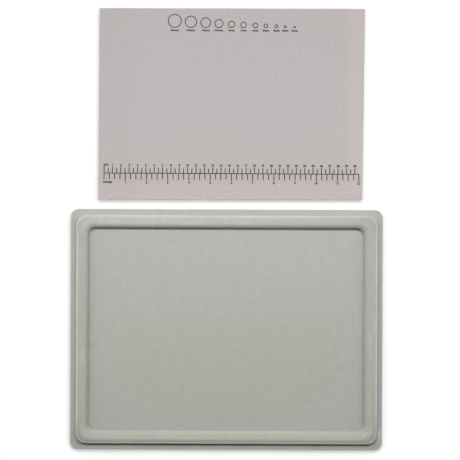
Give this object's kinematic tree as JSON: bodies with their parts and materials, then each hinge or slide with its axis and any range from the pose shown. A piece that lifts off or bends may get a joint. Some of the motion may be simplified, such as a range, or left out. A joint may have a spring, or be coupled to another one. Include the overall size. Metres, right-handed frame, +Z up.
{
  "type": "bead mat",
  "caption": "Shallow rectangular flocked tray with a stepped rim, and the soft printed foam mat that lies in it to keep beads from rolling while they are sorted and strung.",
  "frame": {"origin": "middle of the tray's underside, on the table", "axes": "+X right and +Y away from the maker, from the tray to the mat; +Z up off the table"},
  "size_m": [0.373, 0.5283, 0.0085],
  "materials": {
    "tray_plastic": "vacuum-formed sheet, satin",
    "tray_pile": "short flock, matt",
    "mat_pile": "short velvety pile, matt",
    "mat_foam": "fine open-cell foam, cut",
    "mat_print": "dark ink printed on the pile"
  },
  "bodies": {
    "tray": {"tray_sheet": "tray_plastic", "tray_flock": "tray_pile"},
    "mat": {"mat_back_pile": "mat_pile", "mat_foam_core": "mat_foam", "mat_face_pile": "mat_pile"}
  },
  "joints": [
    {"name": "mat_lift", "type": "slide", "parent": "tray", "child": "mat", "axis": [0, 0, 1], "range_m": [0, 0.06]}
  ]
}
